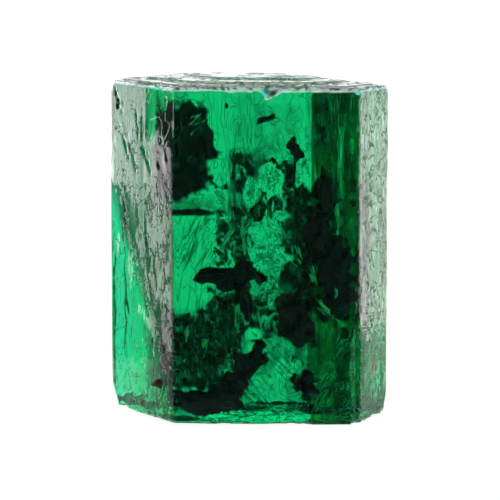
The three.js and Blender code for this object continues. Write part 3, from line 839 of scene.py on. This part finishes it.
CLEAR = (1.0, 1.0, 1.0)
# Greys of the painted shade on the skin, half and full
PAINTED_HALF_SHADE = (0.36, 0.4, 0.38)
PAINTED_FULL_SHADE = (0.015, 0.03, 0.025)
SIDE_TINT = (0.15, 1.0, 0.85)
RUST = (0.3, 0.09, 0.02)
FAINT_SPECULAR = (0.05, 0.05, 0.05)
COAL, SOOT, BROWN_COAL = (0.001, 0.0015, 0.0015), (0.008, 0.012, 0.01), (0.035, 0.008, 0.004)
DEEP, DUSK, FOREST = (0.0, 0.004, 0.003), (0.0, 0.025, 0.016), (0.0, 0.09, 0.05)
LEAF, MINT = (0.0, 0.4, 0.2), (0.03, 1.0, 0.6)
MOSS_GREEN, YELLOW_GREEN = (0.01, 0.3, 0.1), (0.12, 0.9, 0.35)


def skin_lines(tree, side, level):
    """Etched lines: long ones on the sides, short ones where they crinkle, and marks on top and base."""
    crinkled = attribute(tree, "crinkled")
    wide_spaced = texture(tree, scale=0.9, detail=3, stretch=(1, 1, 0.6), distortion=1.5)
    close_spaced = texture(tree, scale=1.8, detail=3, stretch=(1, 1, 0.7), distortion=1.2)
    scattered = texture(tree, scale=1.0, detail=6, stretch=(1.3, 0.9, 1), distortion=1.0)
    long = strands(tree, wide_spaced, width=0.012)
    short = strands(tree, close_spaced, width=0.026)
    marks = strands(tree, scattered, width=0.045)
    few = ramp(tree, crinkled, [(0.1, grey(0.1)), (0.45, grey(0.95))])
    many = ramp(tree, crinkled, [(0.5, grey(0)), (0.9, grey(1))])
    upright = times(tree, larger(tree, times(tree, long, few), times(tree, short, many)), side)
    return combined(tree, "MINIMUM", combined(tree, "ADD", upright, times(tree, marks, level)), 1.0)


def skin_colour(tree, lines, side, rust):
    """What the skin lets through: less in its lines and furrows and on the dimmed parts of the faces, all of
    it painted shade, and tinted on the sides.
    """
    # Painted shade: the etched lines and furrows are darkened in colour, as shade in their grooves.
    painted_groove_shade = larger(tree, times(tree, lines, 0.95), attribute(tree, "painted_recess_shade"))
    painted_shade_amount = larger(tree, painted_groove_shade, times(tree, attribute(tree, "painted_dimming"), 0.95))
    tone = ramp(tree, painted_shade_amount, [(0.0, CLEAR), (0.5, PAINTED_HALF_SHADE), (1.0, PAINTED_FULL_SHADE)])
    colour = tinted(tree, tone, tinted(tree, CLEAR, SIDE_TINT, side))
    return tinted(tree, colour, RUST, rust)


def emerald_material():
    """Clear beryl, with an etched skin and light absorbed by its depth."""
    made, tree, shader = material("emerald")
    shader.inputs["IOR"].default_value = IOR
    shader.inputs["Specular Tint"].default_value = (*FAINT_SPECULAR, 1)
    side, level, rim, rust = (attribute(tree, name) for name in ("side", "level", "rim", "rust"))
    lines = skin_lines(tree, side, level)
    tree.links.new(skin_colour(tree, lines, side, rust), shader.inputs["Base Color"])
    worn = larger(tree, times(tree, rim, texture(tree, scale=4.0, detail=5)), times(tree, rust, 0.6))
    clearness = ramp(tree, worn, [(0.1, grey(1)), (0.45, grey(0.2))])
    tree.links.new(clearness, shader.inputs["Transmission Weight"])
    uneven = combined(tree, "ADD", times(tree, larger(tree, side, level), 0.3), times(tree, lines, 0.7))
    shine = ramp(tree, uneven, [(0.0, grey(0.015)), (0.3, grey(0.07)), (1.0, grey(0.6))])
    tree.links.new(shine, shader.inputs["Roughness"])
    bumped(tree, shader, lines, distance=0.05, inward=True)
    volume = tree.nodes.new("ShaderNodeVolumeAbsorption")
    volume.inputs["Color"].default_value = (*ABSORPTION_COLOUR, 1)
    volume.inputs["Density"].default_value = ABSORPTION_PER_MM / MM
    tree.links.new(volume.outputs["Volume"], tree.nodes["Material Output"].inputs["Volume"])
    return made


def coal_material():
    """Black, with faint grey-green and here and there a red-brown cast."""
    made, tree, shader = material("black_inclusion")
    shader.inputs["Roughness"].default_value = 0.55
    shader.inputs["Specular IOR Level"].default_value = 0.2
    grain = texture(tree, scale=9.0, detail=5)
    tone = ramp(tree, grain, [(0.35, COAL), (0.75, SOOT)])
    cast = ramp(tree, texture(tree, scale=0.9, detail=2), [(0.55, grey(0)), (0.7, grey(1))])
    tree.links.new(tinted(tree, tone, BROWN_COAL, cast), shader.inputs["Base Color"])
    bumped(tree, shader, grain, distance=0.03, strength=0.6)
    return made


def veil_material(name, kind, dark, pale, scale, stretch, softness=0.0, bend=1.3):
    """A crack plane.

    A cloud is thin everywhere, lace has clear gaps with soft edges, and lines are fine strands on clear
    ground, which bend more or less.
    """
    made, tree, shader = material(name)
    shader.inputs["Roughness"].default_value = 0.6
    shader.inputs["Specular IOR Level"].default_value = 0.1
    grain = tree.nodes.new("ShaderNodeAttribute")
    grain.attribute_name = "grain"
    place = stretched(tree, grain.outputs["Vector"], (*stretch, 1))
    tone = ramp(tree, grained(tree, place, 1.9 * scale, 5.0, 0.6), [(0.38, dark), (0.66, pale)])
    tree.links.new(tone, shader.inputs["Base Color"])
    closed = attribute(tree, "closed")
    if kind == "cloud":
        thick = stepped(tree, grained(tree, place, scale, 8.0, 0.8), 0.3, 0.7, 0.4, 1.3)
        alpha = times(tree, closed, thick)
    elif kind == "lace":
        low = combined(tree, "SUBTRACT", 0.95, closed)
        high = combined(tree, "ADD", low, softness)
        alpha = stepped(tree, grained(tree, place, scale, 8.0, 1.2), low, high)
    else:
        line = strands(tree, grained(tree, place, scale, 3.0, bend), softness)
        broken = stepped(tree, grained(tree, place, 0.6 * scale, 2.0, 0.0), 0.4, 0.55)
        alpha = times(tree, times(tree, line, broken), closed)
    tree.links.new(alpha, shader.inputs["Alpha"])
    return made


def garden():
    """All the clouds, crack planes and strands, each style with its own look."""
    cloudy = veil_material("cloud_veil", "cloud", DUSK, FOREST, scale=1.8, stretch=(1, 0.5))
    smoky = veil_material("smoke_veil", "lace", DEEP, DUSK, scale=2.2, stretch=(1, 0.6), softness=0.3)
    mossy = veil_material("moss_veil", "lace", DEEP, FOREST, scale=3.4, stretch=(1, 0.5), softness=0.1)
    netted = veil_material("net_veil", "lines", DEEP, DUSK, scale=3.6, stretch=(1, 0.7), softness=0.03)
    striped = veil_material("striae_veil", "lines", DUSK, FOREST, 4.5, (1, 0.09), softness=0.07, bend=0.15)
    threaded = veil_material("thread_veil", "lines", LEAF, MINT, 3.8, (1, 0.3), softness=0.025, bend=0.8)
    wispy = veil_material("wisp_veil", "lace", MOSS_GREEN, YELLOW_GREEN, 5.0, (1.8, 0.3), softness=0.12)
    # The pale colour of these crack planes is a painted glint.
    frost_and_painted_glint_look = veil_material("frost_and_painted_glint_veil", "lace", LEAF, MINT, scale=5.0, stretch=(1, 0.8), softness=0.1)
    veils("clouds", CLOUDS, 400, cloudy, has_windows=True)
    veils("smoke", SMOKE, 100, smoky, has_windows=True)
    veils("moss", MOSS, 200, mossy, has_windows=True)
    veils("nets", NETS, 700, netted)
    veils("striae", STRIAE, 300, striped)
    veils("threads", THREADS, 800, threaded)
    veils("wisps", WISPS, 500, wispy)
    veils("frost_and_painted_glints", FROST_AND_PAINTED_GLINTS, 600, frost_and_painted_glint_look)


# Stage

TABLE_HALF = 4000
TABLE_GREY = 0.3
TABLE_GLOW = 0.9
TABLE_SINK = 0.005  # so that it doesn't lie in the plane of the base
HORIZON_LIGHT, HORIZON_TOP = 1.5, 0.25  # light that comes from all round, low down
SKY_LIGHT, SKY_BOTTOM = 0.25, 0.45
CARD_HALF, CARD_TOP = 12, 26
WHOLE_CARD = ((-CARD_HALF, 0), (CARD_HALF, 0), (CARD_HALF, CARD_TOP), (-CARD_HALF, CARD_TOP))
LEFT_CUT = (
    (-CARD_HALF, 0), (-1.0, 0), (1.3, 7.4), (CARD_HALF, 8),
    (CARD_HALF, CARD_TOP), (-0.3, CARD_TOP), (-0.35, 9.2), (-CARD_HALF, 8.6),
)
RIGHT_CUT = ((-0.4, 0), (CARD_HALF, 0), (CARD_HALF, CARD_TOP), (-0.2, CARD_TOP))

# Reflectors, as (name, where it stands, what it faces, outline, strength)
CARDS = (
    ("left_card", (-15, 3.1), (-4, -1.8), LEFT_CUT, 6.0),
    ("left_shade", (-15.5, 3.3), (-4, -1.8), WHOLE_CARD, 0.25),
    ("right_card", (21, 9.5), (4.6, -2.1), RIGHT_CUT, 6.5),
    ("right_shade", (21.5, 9.8), (4.6, -2.1), WHOLE_CARD, 3.2),
)


def emitting(name, strength):
    """A material that only glows."""
    made, tree, _ = material(name)
    glow = tree.nodes.new("ShaderNodeEmission")
    glow.inputs["Color"].default_value = (1, 1, 1, 1)
    glow.inputs["Strength"].default_value = strength
    tree.links.new(glow.outputs[0], tree.nodes["Material Output"].inputs["Surface"])
    return made


def floor():
    """A pale table that glows faintly."""
    made, _, shader = material("table")
    shader.inputs["Base Color"].default_value = (*grey(TABLE_GREY), 1)
    shader.inputs["Roughness"].default_value = 0.9
    shader.inputs["Emission Color"].default_value = (1, 1, 1, 1)
    shader.inputs["Emission Strength"].default_value = TABLE_GLOW
    ends = [(-1, -1, 0), (1, -1, 0), (1, 1, 0), (-1, 1, 0)]
    plane = new_object("table", np.array(ends) * TABLE_HALF, [(0, 1, 2, 3)], made)
    plane.location.z = -TABLE_SINK * MM


def card(name, stand, toward, outline, strength):
    """A glowing reflector that stands on the table and faces a point. It shows only in what mirrors it.

    Its cut outline is (across, up) points.
    """
    way = np.array(toward, float) - np.array(stand, float)
    way = way / np.linalg.norm(way)
    across = np.array([-way[1], way[0]])
    points = [(*(np.array(stand) + across * x), z) for x, z in outline]
    sheet = new_object(name, points, [tuple(range(len(points)))], emitting(name, strength))
    sheet.visible_camera = False
    sheet.visible_diffuse = False
    sheet.visible_transmission = False


def world():
    """Soft light, bright from low all round and faint from above."""
    scene = bpy.context.scene
    scene.world = bpy.data.worlds.new("studio")
    scene.world.use_nodes = True
    tree = scene.world.node_tree
    split = tree.nodes.new("ShaderNodeSeparateXYZ")
    tree.links.new(tree.nodes.new("ShaderNodeTexCoord").outputs["Generated"], split.inputs[0])
    low, high = grey(HORIZON_LIGHT), grey(SKY_LIGHT)
    light = ramp(tree, split.outputs["Z"], [(0.0, low), (HORIZON_TOP, low), (SKY_BOTTOM, high), (1.0, high)])
    tree.links.new(light, tree.nodes["Background"].inputs["Color"])


def camera():
    """The photograph's view: a little from above, from far away."""
    data = bpy.data.cameras.new("camera")
    data.sensor_width = SENSOR
    data.lens = FOCAL_PIXELS / IMAGE * SENSOR
    data.clip_start = 0.001
    data.clip_end = 100
    lens = bpy.data.objects.new("camera", data)
    bpy.context.collection.objects.link(lens)
    aim = Vector(AIM) * MM
    back = Vector((0, -math.cos(CAMERA_ELEVATION), math.sin(CAMERA_ELEVATION)))
    lens.location = aim + back * CAMERA_DISTANCE * MM
    lens.rotation_euler = (-back).to_track_quat("-Z", "Y").to_euler()
    bpy.context.scene.camera = lens


def light_paths():
    """Enough bounces for light to pass through the crystal and the sheets in it."""
    cycles = bpy.context.scene.cycles
    cycles.max_bounces = 28
    cycles.glossy_bounces = 24
    cycles.transmission_bounces = 24
    cycles.transparent_max_bounces = 24
    cycles.diffuse_bounces = 4
    cycles.use_denoising = True
    bpy.context.scene.view_settings.view_transform = "Standard"


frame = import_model()
camera()
clear_body(emerald_material())
black_masses(coal_material())
garden()
floor()
for reflector in CARDS:
    card(*reflector)
world()
light_paths()
